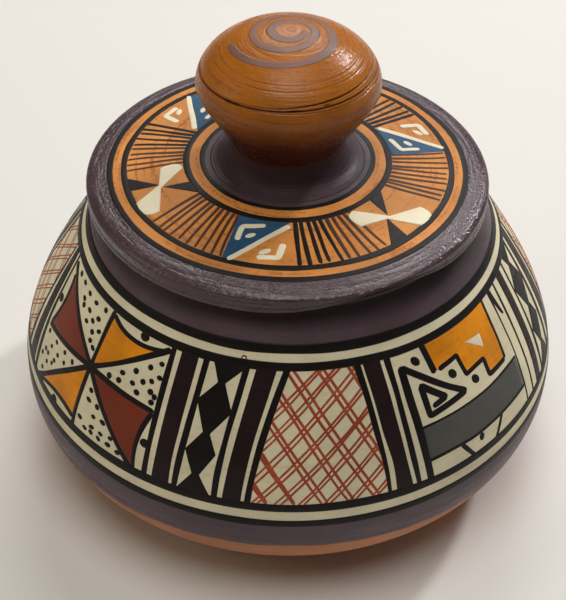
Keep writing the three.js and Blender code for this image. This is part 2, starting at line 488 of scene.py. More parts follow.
def jar_inside(outside):
    """The outside moved in by the wall's thickness, with throwing rings: ripple x sin(height), fading upwards."""
    inside = outside - WALL * outward(outside)
    kept = inside[(inside[:, 1] > FLOOR_HEIGHT + 2) & (inside[:, 1] < RIM[1] - 4)][::-1]
    fade = np.clip((RIPPLE_TOP - kept[:, 1]) / RIPPLE_FADE, 0, 1)
    return kept + pairs(RIPPLE * np.sin(kept[:, 1] * 2 * math.pi / RIPPLE_PITCH) * fade, 0)


outside = jar_outside()
mouth = RIM[0] - WALL
inside = jar_inside(outside)
jar_profile = np.concatenate([
    [(POLE, 0), (BASE_RADIUS - 3, 0)],
    bezier([(BASE_RADIUS - BEVEL, 0), (BASE_RADIUS - 0.2, 0), (BASE_RADIUS, BEVEL)], 4)[:-1],
    outside,
    bezier([(RIM[0], RIM[1] - ROUNDING), RIM, (RIM[0] - ROUNDING, RIM[1])], RIM_STEPS)[1:],
    bezier([(mouth + ROUNDING, RIM[1]), (mouth, RIM[1]), (mouth, RIM[1] - ROUNDING)], RIM_STEPS),
    inside,
    bezier([inside[-1], (inside[-1][0] - 3, FLOOR_HEIGHT), (inside[-1][0] - 12, FLOOR_HEIGHT)], 10)[1:],
    [(8, FLOOR_HEIGHT - 0.1), (POLE, FLOOR_HEIGHT)],
])
first_inside = int(np.argmax(jar_profile[:, 1])) + RIM_STEPS + 1
ring_middle = (jar_profile[1:, 1] + jar_profile[:-1, 1]) / 2
jar_zone = np.where((ring_middle > CREAM_FROM) & (ring_middle < CREAM_TO), PAINTED, COATED)
jar_zone[first_inside:] = BARE
# The purple coat goes darker up the neck: painted shade under the lid.
add_piece("jar_wall", "jar", [turned(*swept(jar_profile))],
          ["purple_over_clay_neck_shade", "cream", "bare_clay"],
          np.repeat([*jar_zone, COATED, BARE], TURNS), ["jar_body"])

# %% [markdown]
# ## The lid
# The lid is a thick disc with a fine lip and a soft ridge on its side. At the front right the lower edge is worn
# away. The edge and the knob's seat are purple, and the broad ring between them is orange. A ring of clay below
# keeps the lid centred in the mouth.

# %% The lid plate and its ring
LID_RADIUS, LID_SHOULDER, KNOB_FOOT, KNOB_SEAT = 38.1, (35.8, 64.59), 14.6, 66.6
LIP, HOLLOW, RIDGE = (38.1, 61.3), (37.9, 62.0), (38.05, 63.3)
LIP_CURL, HOLLOW_TOP, CORNER = 0.25, 62.7, 64.37
WEAR_AT, WEAR_SPREAD, WEAR_DEPTH, WEAR_REACH, WEAR_TOP = 27.0, 19.0, 2.8, 3.1, 64.4
FLANGE_OUT, FLANGE_IN, FLANGE_DROP = 29.8, 26.3, 6.0
ORANGE_FROM, ORANGE_TO = 16.1, 33.55

lid_radii = np.sort(np.append(np.linspace(KNOB_FOOT, LID_SHOULDER[0], 46), [ORANGE_FROM, ORANGE_TO]))[::-1]
lid_heights = np.interp(lid_radii, [KNOB_FOOT, LID_SHOULDER[0]], [KNOB_SEAT, LID_SHOULDER[1]])
lid_edge = joined(
    ([(LID_RADIUS - ROUNDING, RIM[1]), (LID_RADIUS, RIM[1]), LIP], 6),
    ([LIP, (LIP[0], LIP[1] + LIP_CURL), HOLLOW], 5),
    ([HOLLOW, (HOLLOW[0], HOLLOW_TOP), RIDGE], 8),
    ([RIDGE, (LID_RADIUS, CORNER), LID_SHOULDER], 10))
lid_profile = np.concatenate([
    [(POLE, RIM[1]), (LID_RADIUS - 4, RIM[1])], lid_edge, pairs(lid_radii, lid_heights)[1:],
    [(KNOB_FOOT - 3, KNOB_SEAT), (POLE, KNOB_SEAT)],
])
radius, height = ((lid_profile[1:] + lid_profile[:-1]) / 2).T
orange_ring = (radius > ORANGE_FROM) & (radius < ORANGE_TO) & (height > RIM[1] + 1)
lid_zone = np.where(orange_ring, PAINTED, np.where(radius < ORANGE_FROM, SEAT, COATED))
lid_zone[height < RIM[1] + 0.1] = BARE


def wear_lift(angle, radius, height):
    """How far the worn edge has risen: depth x exp(-(angle / spread)^2), fading out upwards and inwards."""
    wear = WEAR_DEPTH * np.exp(-((angle - WEAR_AT) / WEAR_SPREAD) ** 2)
    below = np.clip((WEAR_TOP - height) / (WEAR_TOP - RIM[1]), 0, 1)
    outer = np.clip((radius - LID_RADIUS + 1 + WEAR_REACH) / WEAR_REACH, 0, 1)
    return wear * below * outer


radius, height = swept(lid_profile)
add_piece("lid_plate", "lid",
          [turned(radius, height + wear_lift(step_angles(TURNS), radius, height))],
          ["purple", "orange", "bare_clay", "dull_purple"],
          np.repeat([*lid_zone, BARE, COATED], TURNS), ["lid_disc"])

flange_low = RIM[1] - FLANGE_DROP
flange_turn = flange_low + ROUNDING
flange_profile = np.concatenate([
    [(FLANGE_IN, RIM[1])],
    bezier([(FLANGE_IN, flange_turn), (FLANGE_IN, flange_low), (FLANGE_IN + ROUNDING, flange_low)], 6),
    bezier([(FLANGE_OUT - ROUNDING, flange_low), (FLANGE_OUT, flange_low), (FLANGE_OUT, flange_turn)], 6),
    [(FLANGE_OUT, RIM[1])],
])
flange_faces = grid_faces(len(flange_profile), TURNS, round_rows=True)
add_piece("lid_ring", "lid", [(rings(*swept(flange_profile)), flange_faces)],
          ["bare_clay"], None, ["lid_flange"])

# %% [markdown]
# ## The knob
# A flared foot, a stem and a domed head, burnished until it shines. Two grooves were scratched into the dome while
# it turned. They aren't level, and the upper one leaves the lower one near the front, so their angles change
# around the axis. The tool also left nicks and fainter lines. The material darkens the cuts with brown, painted
# shade in the grooves, and turns the stem dark brown up to the head, painted shade under it.

# %% The knob
KNOB_STEM, KNOB_STEM_TOP, KNOB_RADIUS, KNOB_WIDEST, KNOB_DOME = 10.7, 71.4, 16.75, 83.0, 10.2
KNOB_TURNS, DOME_ROWS = 240, [(0, 13.5, 10), (14, 45, 150), (46, 89.5, 34)]
GROOVES = [
    ([-180, -120, -60, 0, 40, 70, 120, 180], [19, 18, 18, 20, 21, 21, 19.5, 19], [0.28] * 8, 0.7),
    ([-180, -60, -12, 10, 30, 60, 110, 180], [27, 19.5, 21.5, 24, 25.5, 27, 27.5, 27],
     [0, 0, 0.15, 0.25, 0.28, 0.25, 0.1, 0], 0.7),
    ([-180, 0, 180], [16.5, 18, 16.5], [0.06, 0.12, 0.06], 0.5),
    ([-180, 0, 180], [36, 36, 36], [0.03, 0.05, 0.03], 0.6),
    ([-180, 0, 180], [42, 41, 42], [0.02, 0.04, 0.02], 0.6),
]
NICKS = [(-40.0, 18.2, 3.0, 1.2), (-34.0, 18.8, 2.0, 0.8), (4.0, 20.6, 4.0, 0.8), (24.8, 22.4, 2.0, 1.1)]
NICK_DEPTH, FULL_BROWN = 0.22, 0.25


def dome_points():
    """Quarter ellipse; each groove takes depth x exp(-(angle from groove / width)^2) off both half-axes."""
    angle = np.concatenate([np.linspace(*rows) for rows in DOME_ROWS])[:, None]
    turn = step_angles(KNOB_TURNS)
    cut = sum(np.interp(turn, at, depth) * np.exp(-((angle - np.interp(turn, at, level)) / width) ** 2)
              for at, level, depth, width in GROOVES)
    cut = cut + sum(NICK_DEPTH * np.exp(-((turn - side) / length) ** 2 - ((angle - level) / width) ** 2)
                    for side, level, length, width in NICKS)
    radians = np.radians(angle)
    return (KNOB_RADIUS - cut) * np.cos(radians), KNOB_WIDEST + (KNOB_DOME - cut) * np.sin(radians), cut


stem_curve = joined(
    ([(KNOB_FOOT, KNOB_SEAT), (KNOB_FOOT - 2, KNOB_SEAT + 0.15), (KNOB_STEM, KNOB_SEAT + 1.2),
      (KNOB_STEM, KNOB_STEM_TOP)], 24),
    ([(KNOB_STEM, KNOB_STEM_TOP), (KNOB_STEM, KNOB_STEM_TOP + 2.0), (KNOB_RADIUS, KNOB_WIDEST - 2.3),
      (KNOB_RADIUS, KNOB_WIDEST)], 44))
stem_profile = np.concatenate([[(POLE, KNOB_SEAT), (KNOB_FOOT - 2, KNOB_SEAT)], stem_curve[:-1]])
stem_radius, stem_height = swept(stem_profile, KNOB_TURNS)
dome_radius, dome_height, dome_cut = dome_points()
# How much painted shade each point of the dome takes: its cut depth, full at FULL_BROWN.
knob_cut = np.concatenate([np.zeros(stem_radius.size), np.clip(dome_cut / FULL_BROWN, 0, 1).ravel(), [0, 0]])
add_piece("knob", "lid",
          [turned(np.concatenate([stem_radius, dome_radius]), np.concatenate([stem_height, dome_height]))],
          ["burnished"], None, ["lid_knob"], knob_cut)

# %% [markdown]
# ## Painting on a curved ground
# A mark is flat in the painter's eye but lies on a curved wall. A ground turns two painter's coordinates and a
# lift into a place in space, and says how many millimetres a step of each one is, so that a brush keeps its width.
# On the wall they are the angle from the front to the right and the height. On the lid and the knob they are x and
# y seen from above.

# %% Grounds
Ground = namedtuple("Ground", "spot span")


def side_ground(line, worn=0):
    """A ground around the axis: lift moves a point out along the profile's normal, and wear raises it."""
    normal = outward(line)
    stretch = np.hypot(*np.gradient(line, axis=0).T) / np.maximum(np.gradient(line[:, 1]), 1e-6)

    def spot(angle, height, lift):
        radius, out, rise = (np.interp(height, line[:, 1], part) for part in (line[:, 0], *normal.T))
        wear = worn * wear_lift(angle, LID_RADIUS, height)
        return around_axis(radius + lift * out, np.radians(angle), height + lift * rise + wear)

    def span(angle, height):
        return np.radians(np.interp(height, line[:, 1], line[:, 0])), np.interp(height, line[:, 1], stretch)

    return Ground(spot, span)


def top_ground(radii, heights):
    """A ground seen from above: height over the plan from a profile, lift added straight up."""
    def spot(x, y, lift):
        return np.stack([x, y, np.interp(np.hypot(x, y), radii, heights) + lift], axis=-1)

    def span(x, y):
        return np.ones_like(x), np.ones_like(y)

    return Ground(spot, span)


wall = side_ground(outside)
lid_side = side_ground(lid_edge, worn=1)
lid_ground = top_ground(lid_radii[::-1], lid_heights[::-1])
falling = np.radians(np.arange(90, -1, -1))
dome_ground = top_ground(KNOB_RADIUS * np.cos(falling), KNOB_WIDEST + KNOB_DOME * np.sin(falling))
print("one degree on the belly is", round(float(wall.span(0.0, 25.0)[0]), 2), "mm")

# %% [markdown]
# ## Brush marks
# Every mark is a thin closed layer between two edges: a crowned top that follows the ground, and a skirt that goes
# down into the clay. A brush line rounds its edges in at the ends, a blade fans out from a tip to a curved end,
# and a dab is an oval dot. No hand is steady, so a slow random sway moves each path and changes each width.

# %% Brush helpers
SKIRT = 0.18
PATCH, LINE, OVER = 0.035, 0.05, 0.07
EDGE_LIFT, CROWN_LIFT, CROWN = 0.55, 0.45, 6
BLUNT, NOSE = 0.02, np.array([0, 0.07, 0.27, 0.6])
WIDTH_SWAY, BLADE_START = 0.07, 0.02
ACROSS_LINE, ACROSS_DAB = np.array([0, 0.14, 0.5, 0.86, 1]), np.array([0, 0.25, 0.75, 1])
ACROSS_PATCH = np.array([0, 0.02, 0.1, 0.25, 0.4, 0.55, 0.7, 0.85, 0.93, 0.98, 1])
ACROSS_BLADE = np.concatenate([[0, 0.01], np.linspace(0.1, 0.9, 14), [0.99, 1]])


def layer(ground, left, right, lift, across=ACROSS_LINE, closed=False):
    """Rows from edge to edge at the lift, lower at the rims, with both rims sunk by the skirt."""
    aside, heading = right - left, np.gradient(left + right, axis=0)
    if np.sum(aside[:, 0] * heading[:, 1] - aside[:, 1] * heading[:, 0]) < 0:
        left, right = right, left
    share = across[:, None]
    top = left[:, None] * (1 - share) + right[:, None] * share
    lifts = lift * (EDGE_LIFT + CROWN_LIFT * (1 - np.abs(2 * across - 1) ** CROWN))
    loop = np.concatenate([top[:, :1], top, top[:, -1:]], axis=1)
    depth = np.concatenate([[-SKIRT], lifts, [-SKIRT]]) * np.ones((len(top), 1))
    points = ground.spot(loop[..., 0], loop[..., 1], depth)
    rows, columns = depth.shape
    faces = grid_faces(rows, columns, round_rows=closed)
    if not closed:
        faces += [list(range(columns))[::-1], list(range((rows - 1) * columns, rows * columns))]
    return points.reshape(-1, 3), faces


def sway(count, length, size, closed=False, every=5.0):
    """Smooth random drift: a random value every few millimetres, eased from one to the next."""
    knots = max(int(length / every), 3)
    values = hand.normal(0, size, knots + 1)
    values[-1] = values[0] if closed else values[-1]
    place = np.linspace(0, knots, count, endpoint=not closed)
    low = np.minimum(place.astype(int), knots - 1)
    ease = (place - low) ** 2 * (3 - 2 * (place - low))
    return values[low] * (1 - ease) + values[low + 1] * ease


def measured(ground, path):
    """Running length of a path in millimetres, each piece scaled by the ground's span at its middle."""
    middle = (path[1:] + path[:-1]) / 2
    pieces = np.diff(path, axis=0) * pairs(*ground.span(*middle.T))
    return np.concatenate([[0], np.cumsum(np.hypot(*pieces.T))])


def brush_line(ground, path, width, lift, taper=(1.0, 1.0), drift=0.06, step=0.6):
    """Edges at path +/- half the width; the ends close in along a quarter circle."""
    path = np.asarray(path, dtype=float)
    run = measured(ground, path)
    length, reach = run[-1], min(width / 2, run[-1] / 3)
    nose = reach * NOSE
    body = np.linspace(reach, length - reach, max(int(length / step), 3))
    marks = np.concatenate([nose, body, length - nose[::-1]])
    track = pairs(*(np.interp(marks, run, part) for part in path.T))
    soft = (track[:-2] + 2 * track[1:-1] + track[2:]) / 4
    track = np.concatenate([track[:1], soft, track[-1:]])
    scale = pairs(*ground.span(*track.T))
    heading = np.gradient(track, axis=0) * scale
    heading /= np.maximum(np.hypot(*heading.T), 1e-9)[:, None]
    aside = pairs(-heading[:, 1], heading[:, 0]) / scale
    to_end = np.clip(np.minimum(marks, length - marks) / reach, 0, 1)
    half = width / 2 * np.sqrt(np.maximum(1 - (1 - to_end) ** 2, BLUNT))
    half = half * np.interp(marks, [0, length], taper) * (1 + sway(len(marks), length, WIDTH_SWAY))
    track = track + aside * sway(len(marks), length, drift)[:, None]
    return layer(ground, track + aside * half[:, None], track - aside * half[:, None], lift)


def dab(ground, centre, length, width, lift, lean=0.0):
    """An oval dot: half-width = width / 2 x sqrt(1 - t^2) along its length, turned by the lean in degrees."""
    along = np.cos(np.linspace(math.pi, 0, 9))[:, None]
    half = np.sqrt(np.maximum(1 - along ** 2, BLUNT)) * width / 2
    turn, centre = math.radians(lean), np.array(centre, dtype=float)
    heading, aside = np.array([[math.cos(turn), math.sin(turn)], [-math.sin(turn), math.cos(turn)]])
    scale = np.array(ground.span(*centre))
    middle = centre + along * heading * length / 2 / scale
    return layer(ground, middle + half * aside / scale, middle - half * aside / scale, lift, ACROSS_DAB)


def blade(ground, tip, end, lift):
    """A fan from the tip to a curved end: place = tip + share x (end - tip)."""
    return layer(ground, tip + BLADE_START * (end - tip), end, lift, ACROSS_BLADE)


RING_STEPS, RING_LENGTH, RING_DRIFT, RING_SWAY, RING_LEAN = 540, 300, 0.045, 0.05, 0.37
RING_ANGLES = np.arange(RING_STEPS) * 360 / RING_STEPS


def ring_edges(level, width):
    """The two edges of a ring: level + drift, +/- half the width x (1 + drift)."""
    middle = level + sway(RING_STEPS, RING_LENGTH, RING_DRIFT, closed=True, every=13)
    half = width / 2 * (1 + sway(RING_STEPS, RING_LENGTH, RING_SWAY, closed=True, every=9))
    return middle - half, middle + half


def wall_ring(height, width):
    """A ring that hangs lower on the right, by the lean x the sine of the angle."""
    low, high = ring_edges(height - RING_LEAN * np.sin(np.radians(RING_ANGLES)), width)
    return layer(wall, pairs(RING_ANGLES, high), pairs(RING_ANGLES, low), OVER, closed=True)


def plan(angle, radius):
    """Places at an angle from the front to the right and a radius, as x and y seen from above."""
    return pairs(radius * np.sin(np.radians(angle)), -radius * np.cos(np.radians(angle)))


def lid_ring_line(radius, width):
    near, far = ring_edges(radius, width)
    return layer(lid_ground, plan(RING_ANGLES, near), plan(RING_ANGLES, far), LINE, closed=True)


print("a dab has", len(dab(wall, (0, 40), 1.2, 1.2, 0.1)[1]), "faces")

# %% [markdown]
# ## Bands around the jar
# Four black rings bound the painted band. Between them run twelve panels, parted by groups of upright stripes. A
# panel leans with the wall, so its sides are given as angles at its head and at its foot. The brush slipped once,
# right of the front fret, and the upper cream ring has a chip.

# %% Rings, panels and stripes
Panel = namedtuple("Panel", "kind head foot bow", defaults=[(0.0, 0.0)])
FOOT, HEAD = 30.0, 51.0
WALL_RINGS = [(CREAM_FROM, 1.55), (28.75, 1.6), (51.4, 1.3), (CREAM_TO, 1.5)]
PANELS = [
    Panel("pinwheel", (-73.3, -29.2), (-67.6, -29.4)),
    Panel("diamonds", (-18.8, -10.4), (-21.4, -14.5), (-0.25, -0.6)),
    Panel("lattice", (0.8, 15.8), (-6.65, 20.0), (-1.25, 0.6)),
    Panel("fret", (25.2, 61.3), (27.2, 60.0)),
    Panel("diamonds", (74.8, 83.2), (70.9, 77.6)),
    Panel("lattice", (93.5, 108.5), (90.0, 110.0)),
    Panel("pinwheel", (117.5, 156.5), (119.0, 157.5)),
    Panel("diamonds", (166.0, 174.5), (166.5, 173.0)),
    Panel("lattice", (184.0, 199.5), (181.5, 202.0)),
    Panel("fret", (208.5, 240.0), (210.0, 239.5)),
    Panel("diamonds", (252.0, 260.0), (249.0, 256.0)),
    Panel("lattice", (269.0, 281.0), (266.0, 283.0)),
]
STRIPES = [("black", (0, 0), (0.158, 0.14)), ("dark_brown", (0.316, 0.268), (0.757, 0.71)),
           ("black", (0.84, 0.835), (1, 1))]
STRIPES_TO_FRET = [("black", (0, 0), (0.12, 0.205)), ("dark_brown", (0.25, 0.25), (0.73, 0.72)),
                   ("black", (0.83, 0.817), (1, 1))]
STRIPES_FROM_FRET = [("black", (0, 0), (0.05, 0.05)), ("black", (0.28, 0.28), (0.34, 0.34)),
                     ("dark_brown", (0.54, 0.54), (0.78, 0.78)), ("black", (0.92, 0.92), (1, 1))]
STRIPE_STEPS, STRIPE_SWAY, STRIPE_BELOW, STRIPE_ABOVE = 46, 0.08, 1.2, 0.4
SLIPPED_STROKE, CHIP_PLACE = [(62.0, 50.6), (63.5, 45.5)], (-10.6, 52.35)
jar_paint = {}


def on_jar(finish, mark):
    jar_paint.setdefault(finish, []).append(mark)


def on_panel(panel, spots):
    """(Share across, height) as (angle, height). A side = a straight lean + bow x 4 x climb x (1 - climb)."""
    share, height = np.asarray(spots, dtype=float).T
    climb = (height - FOOT) / (HEAD - FOOT)
    swell = 4 * climb * (1 - climb)
    left, right = (foot + (head - foot) * climb + bow * swell for head, foot, bow in zip(*panel[1:]))
    return pairs(left + (right - left) * share, height)


def paint_panels(**painters):
    """Goes around the jar once, painting the panels of the kinds named."""
    for panel in PANELS:
        if panel.kind in painters:
            painters[panel.kind](panel)


def upright_stripe(gap, start, end):
    """A stripe between two shares of the gap, each given at the foot and at the head."""
    heights = np.linspace(FOOT - STRIPE_BELOW, HEAD + STRIPE_ABOVE, STRIPE_STEPS)
    edges = [on_panel(gap, pairs(np.linspace(*shares, STRIPE_STEPS), heights)) for shares in (start, end)]
    for edge in edges:
        edge[:, 0] += sway(STRIPE_STEPS, HEAD - FOOT, STRIPE_SWAY)
    return layer(wall, *edges, LINE, ACROSS_PATCH)


for ring in WALL_RINGS:
    on_jar("black", wall_ring(*ring))
for panel, after in zip(PANELS, PANELS[1:] + PANELS[:1]):
    turn = 360 if after.head[0] < panel.head[0] else 0
    gap = Panel("gap", (panel.head[1], after.head[0] + turn), (panel.foot[1], after.foot[0] + turn),
                (panel.bow[1], after.bow[0]))
    beside_fret = STRIPES_FROM_FRET if panel.kind == "fret" else STRIPES
    for finish, start, end in STRIPES_TO_FRET if after.kind == "fret" else beside_fret:
        on_jar(finish, upright_stripe(gap, start, end))
on_jar("black", brush_line(wall, SLIPPED_STROKE, 1.2, LINE, (1.1, 0.5)))
on_jar("dark_brown", dab(wall, CHIP_PLACE, 1.0, 0.9, 0.08))
on_jar("pale_cream", dab(wall, CHIP_PLACE, 0.6, 0.5, 0.1))
print("panels:", len(PANELS))

# %% [markdown]
# ## Pinwheel panels
# Eight spokes leave a hub. Every other wedge is filled, ochre and red-brown in turn, with a hollow outer end. The
# wedges between carry dots, each given by its hundredths across and its height.

# %% Pinwheels
HUB, SPOKE_WIDTH = (0.52, 41.2), 1.1
SPOKE_ENDS = [(1.0, 40.6), (1.0, 50.6), (0.552, 51.2), (0.01, 50.4), (0.016, 39.1), (0.02, 29.0), (0.486, 29.0),
              (0.945, 29.0)]
BOW_WIDTH, BOW_DOT = 0.95, (2.0, 1.7)
FILLED = [
    ("ochre", (0.975, 50.1), (0.731, 49.25), (0.565, 50.7), (0.817, 50.6)),
    ("red_brown", (0.054, 48.8), (0.077, 44.6), (0.028, 39.4), (0.022, 43.8)),
    ("ochre", (0.068, 29.7), (0.29, 31.7), (0.477, 30.8), (0.283, 30.1)),
    ("red_brown", (0.948, 29.3), (0.943, 35.2), (0.997, 40.3), (0.99, 35.0)),
]
DOT_SPREAD, DOT_LEAN = (0.86, 1.12), 12
WEDGE_DOTS = [
    ((1.25, 1.1), 0, [
        (97, 48.0), (91, 46.8), (83, 45.2), (98, 45.9), (94, 44.9), (89, 44.2), (75, 43.8), (83, 43.2),
        (95, 43.3), (87, 42.2), (98, 42.8), (97, 41.8), (67, 42.1), (74, 42.4)]),
    ((1.35, 1.0), 0, [
        (12, 50.2), (20, 50.1), (29, 49.8), (38, 49.7), (48, 50.1), (26, 48.4), (28, 47.6), (35, 47.9),
        (41, 47.1), (45, 48.1), (36, 46.2), (44, 45.7), (49, 46.6), (45, 44.4), (49, 43.8)]),
    ((1.1, 0.9), 0, [
        (17, 38.5), (28, 38.9), (30, 37.4), (37, 39.0), (5, 38.1), (13, 36.9), (22, 37.1), (11, 35.2),
        (20, 35.7), (18, 34.8), (4, 33.8), (12, 33.8), (7, 35.2), (8, 31.8)]),
    ((1.35, 0.95), -10, [
        (58, 37.9), (58, 36.2), (65, 36.1), (64, 34.1), (71, 34.3), (78, 32.5), (54, 32.2), (64, 32.1),
        (71, 32.1), (59, 31.0), (64, 31.1), (70, 31.0), (77, 31.1), (84, 30.8)]),
]


def paint_pinwheel(panel):
    hub = on_panel(panel, [HUB])[0]
    for finish, start, hollow, end, dot in FILLED:
        bow = on_panel(panel, bezier([start, 2 * np.array(hollow) - (np.array(start) + end) / 2, end], 16))
        on_jar(finish, blade(wall, hub, bow, PATCH))
        on_jar("black", brush_line(wall, bow, BOW_WIDTH, LINE, (0.8, 1.1)))
        on_jar("black", dab(wall, on_panel(panel, [dot])[0], *BOW_DOT, LINE))
    for end in SPOKE_ENDS:
        on_jar("black", brush_line(wall, on_panel(panel, np.linspace(HUB, end, 12)), SPOKE_WIDTH, LINE))
    for size, lean, places in WEDGE_DOTS:
        for place in on_panel(panel, np.array(places) / (100, 1)):
            length, width = size * hand.uniform(*DOT_SPREAD, 2)
            on_jar("black", dab(wall, place, length, width, LINE, lean + hand.normal(0, DOT_LEAN)))


paint_panels(pinwheel=paint_pinwheel)
print("black marks so far:", len(jar_paint["black"]))

# %% [markdown]
# ## Diamond and lattice panels
# A chain of black diamonds is one layer whose sides swing in and out between necks. The lattice is two families of
# doubled thin brown lines, cut off at the panel's sides. The last lines at the left foot are single and broad.

# %% Diamonds and lattices
CHAIN_LEFT = [(-0.05, 29.0), (0.36, 32.9), (0.0, 36.8), (0.38, 40.2), (-0.04, 44.9), (0.405, 48.1), (0.1, 51.2)]
CHAIN_RIGHT = [(1.02, 29.0), (0.584, 32.9), (0.93, 36.9), (0.6, 40.1), (1.05, 43.9), (0.628, 48.1), (1.024, 50.4),
               (1.03, 51.2)]
CHAIN_FOOT, CHAIN_HEAD, CHAIN_STEPS, CHAIN_SWAY = 29.0, 51.2, 110, 0.008
LATTICE = [(59.5, -1, 4.95, 0.45, 1.15, 0.5), (45.0, 1, 4.3, 1.2, 1.0, 0.4)]
LATTICE_LINES, LATTICE_STEPS, OVERRUN, FEWEST = range(-9, 10), 80, 0.7, 6
START_SPREAD, SLANT_SPREAD, LATTICE_DRIFT = 0.12, 0.5, 0.08
FRONT_REACH, SIDE_BRUSH, BROAD = 40, 0.65, 1.0


def paint_diamonds(panel):
    heights = np.linspace(CHAIN_FOOT, CHAIN_HEAD, CHAIN_STEPS)
    shares = [np.interp(heights, *np.array(chain).T[::-1]) for chain in (CHAIN_LEFT, CHAIN_RIGHT)]
    edges = [on_panel(panel, pairs(share + sway(CHAIN_STEPS, 22, CHAIN_SWAY), heights)) for share in shares]
    on_jar("black", layer(wall, *edges, LINE, ACROSS_PATCH))


def paint_lattice(panel):
    """Lines x = start +/- y / tan(slant), in millimetres on the unrolled panel, kept between its sides."""
    heights = np.linspace(FOOT - 0.6, HEAD + 0.3, LATTICE_STEPS)
    left, right = (on_panel(panel, pairs(share, heights))[:, 0] for share in (0, 1))
    middle = (left[0] + right[0]) / 2
    degree = wall.span(heights, heights)[0]
    climb = measured(wall, pairs(middle, heights))
    brush = 1.0 if abs(middle) < FRONT_REACH else SIDE_BRUSH
    for slant, way, spacing, first, pair, width in LATTICE:
        for turn in LATTICE_LINES:
            start = first + turn * spacing + hand.normal(0, START_SPREAD)
            single = way < 0 and turn < 0
            lean = math.tan(math.radians(slant + hand.normal(0, SLANT_SPREAD)))
            stroke, taper = (BROAD, (0.7, 1.2)) if single else (width, (0.9, 1.1))
            for twin in [0.0] if single else [-pair / 2, pair / 2]:
                angle = middle + (start + twin + way * climb / lean) / degree
                within = (angle > left - OVERRUN) & (angle < right + OVERRUN)
                if within.sum() > FEWEST:
                    path = pairs(angle, heights)[within]
                    on_jar("hatch_brown", brush_line(wall, path, stroke * brush, PATCH, taper, LATTICE_DRIFT))


paint_panels(diamonds=paint_diamonds, lattice=paint_lattice)
print("lattice lines:", len(jar_paint["hatch_brown"]))

# %% [markdown]
# ## Fret panels
# A stepped ochre field with a three-cornered spiral beside it stands over a grey band, all outlined in black.

# %% Frets
STEPS = [(0.280, 46.0), (0.493, 46.6), (0.512, 42.8), (0.696, 43.1), (0.702, 40.2), (0.888, 40.1)]
STEP_HEAD, STEP_ROWS = (0.245, 0.906), 20
FRET_LINES = [
    ([(STEP_HEAD[0], 51.2), (0.282, 45.8)], 1.3),
    ([(0.318, 46.0), *STEPS[1:]], 1.0),
    ([(0.888, 40.1), (STEP_HEAD[1], 51.2)], 0.75),
    ([(0.056, 48.9), (0.065, 28.6)], 1.45),
    ([(0.056, 48.7), (0.463, 40.7), (0.161, 39.9), (0.156, 44.9), (0.308, 41.6), (0.195, 41.1)], 1.2),
    ([(0.08, 38.5), (1.0, 38.5)], 0.5),
    ([(0.08, 32.5), (1.0, 32.6)], 0.65),
    ([(0.322, 32.5), (0.412, 28.6)], 1.0),
    ([(0.698, 32.5), (0.6, 28.6)], 0.75),
]
FRET_DABS = [((0.170, 48.8), (2.1, 1.5), -49), ((0.409, 44.3), (2.1, 1.6), -49), ((0.570, 41.3), (2.1, 1.6), -49),
             ((0.487, 31.5), (1.6, 1.3), 80)]
GREY_SIDES, GREY_FOOT, GREY_HEAD = (0.07, 1.0), 32.4, 38.5
WHITE_CORNERS = [(0.741, 44.6), (0.586, 47.5), (0.749, 47.0)]
FINE_STEP = 0.35


def stepped_field(panel):
    """Rows from each place on the stairs straight up to the head of the panel."""
    corners = np.arange(len(STEPS))
    run = np.linspace(0, corners[-1], STEP_ROWS * corners[-1] + 1)
    stairs = pairs(*(np.interp(run, corners, part) for part in np.array(STEPS).T))
    head = np.interp(stairs[:, 0], [STEPS[0][0], STEPS[-1][0]], STEP_HEAD)
    return layer(wall, on_panel(panel, stairs), on_panel(panel, pairs(head, HEAD)), PATCH, ACROSS_PATCH)


def paint_fret(panel):
    on_jar("ochre", stepped_field(panel))
    heights = np.linspace(GREY_FOOT, GREY_HEAD, 16)
    sides = [on_panel(panel, pairs(share, heights)) for share in GREY_SIDES]
    on_jar("grey", layer(wall, *sides, PATCH, np.linspace(0, 1, 25)))
    for path, width in FRET_LINES:
        on_jar("black", brush_line(wall, on_panel(panel, path), width, LINE, step=FINE_STEP))
    for place, size, lean in FRET_DABS:
        on_jar("black", dab(wall, on_panel(panel, [place])[0], *size, LINE, lean))
    tip, left, right = on_panel(panel, WHITE_CORNERS)
    on_jar("pale_cream", blade(wall, tip, np.linspace(left, right, 8), LINE))


paint_panels(fret=paint_fret)
for finish, marks in jar_paint.items():
    add_piece("jar_paint_" + finish, "jar", marks, [finish])

# %% [markdown]
# ## Painting the lid
# Four black rings divide the lid. The broad orange ring holds six motifs, two kinds in turn, with fans of thin
# dark strokes between them, all drawn in the view from above. At the lower edge a few chips show the clay.

# %% Lid motifs
LID_RINGS = [(ORANGE_FROM, 0.9), (19.1, 1.2), (30.85, 1.2), (ORANGE_TO, 1.1)]
MOTIFS = [(-10.4, 46.8), (109.2, 169.0), (230.8, 291.0)]
FIELD_IN, FIELD_OUT = 19.6, 30.45
WEDGE_STROKES = [
    (1.05, [(-8.9, 30.5), (11.9, 20.5)]),
    (1.0, [(-9.3, 25.6), (-10.0, 22.0), (0.4, 20.9)]),
    (1.15, [(0.2, 28.8), (7.7, 28.6), (9.3, 25.0)]),
]
WEDGE_DABS = [((-4.9, 23.8), (2.0, 1.05), 32), ((2.6, 27.2), (2.3, 1.15), 35)]
BLADES = [
    ("black", (-1.0, 24.8), (-10.2, 30.7), (-6.0, 30.9), (-2.4, 30.7)),
    ("black", (0.5, 24.6), (2.7, 19.6), (8.0, 19.3), (13.4, 19.7)),
    ("pale_cream", (1.9, 25.6), (-13.2, 24.0), (-18.0, 20.4), (-10.5, 19.9)),
    ("pale_cream", (-1.9, 24.6), (13.7, 27.7), (14.2, 31.9), (5.2, 30.5)),
]
